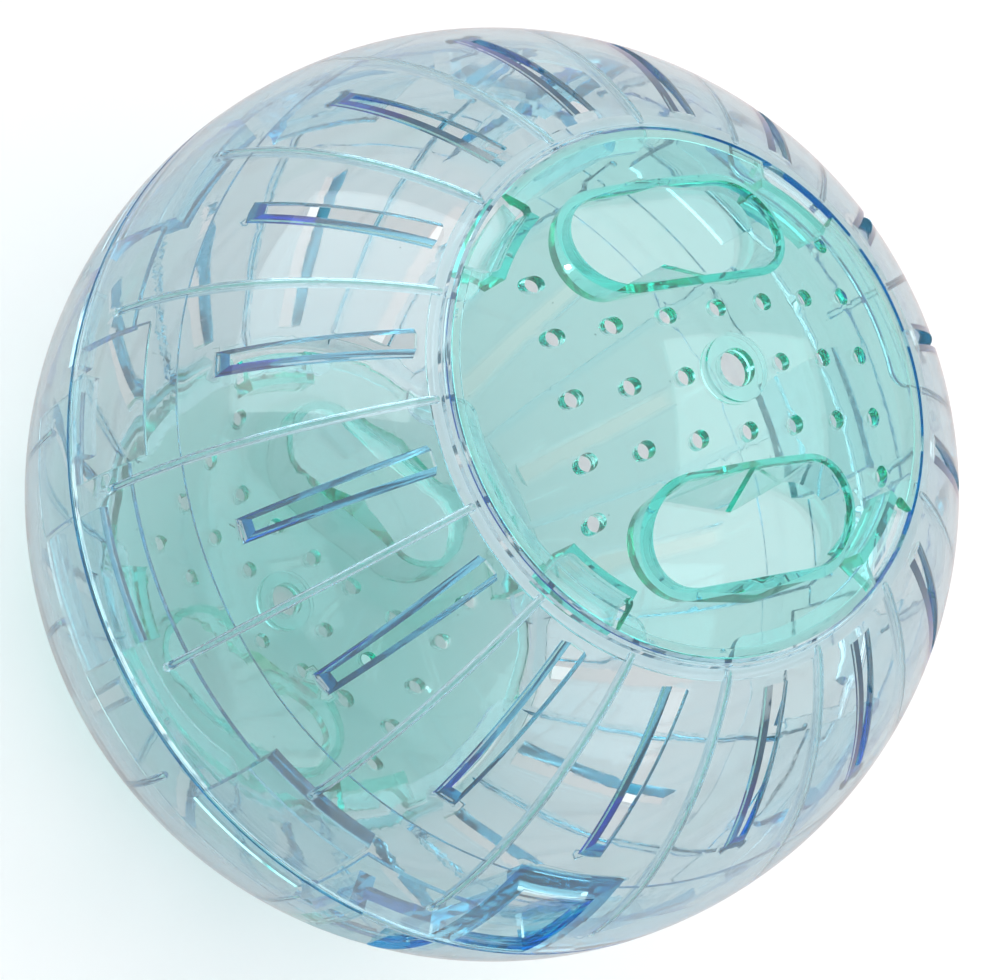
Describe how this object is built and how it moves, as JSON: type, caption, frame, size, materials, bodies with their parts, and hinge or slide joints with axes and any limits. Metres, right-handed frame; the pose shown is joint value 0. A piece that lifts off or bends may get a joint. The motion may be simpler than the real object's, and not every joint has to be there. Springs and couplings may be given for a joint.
{
  "type": "hamster ball",
  "caption": "Clear round exercise ball for a hamster: two tongued half shells with vent slots and ribs, and a bayonet door with finger pockets, air holes and an axle hole at each pole.",
  "frame": {"origin": "centre of the ball", "axes": "+Z out through the axle hole of the upper door, +X along the upper door's rows of air holes, with the doors locked and the halves closed"},
  "size_m": [0.14, 0.14, 0.14],
  "materials": {
    "shell": "clear plastic with a pale blue tint, polished",
    "door": "clear plastic with a mint green tint, polished"
  },
  "bodies": {
    "upper_half": {"upper_half_shell": "shell"},
    "lower_half": {"lower_half_shell": "shell"},
    "upper_door": {"upper_door": "door"},
    "lower_door": {"lower_door": "door"}
  },
  "joints": [
    {"name": "halves_pull_apart", "type": "slide", "parent": "upper_half", "child": "lower_half", "axis": [0, 0, -1], "range_m": [0, 0.02]},
    {"name": "upper_door_twist", "type": "hinge", "parent": "upper_half", "child": "upper_door", "pos_m": [0, 0, 0.055], "axis": [0, 0, 1], "range_deg": [0, 28]},
    {"name": "lower_door_twist", "type": "hinge", "parent": "lower_half", "child": "lower_door", "pos_m": [0, 0, -0.055], "axis": [0, 0, -1], "range_deg": [0, 28]}
  ]
}
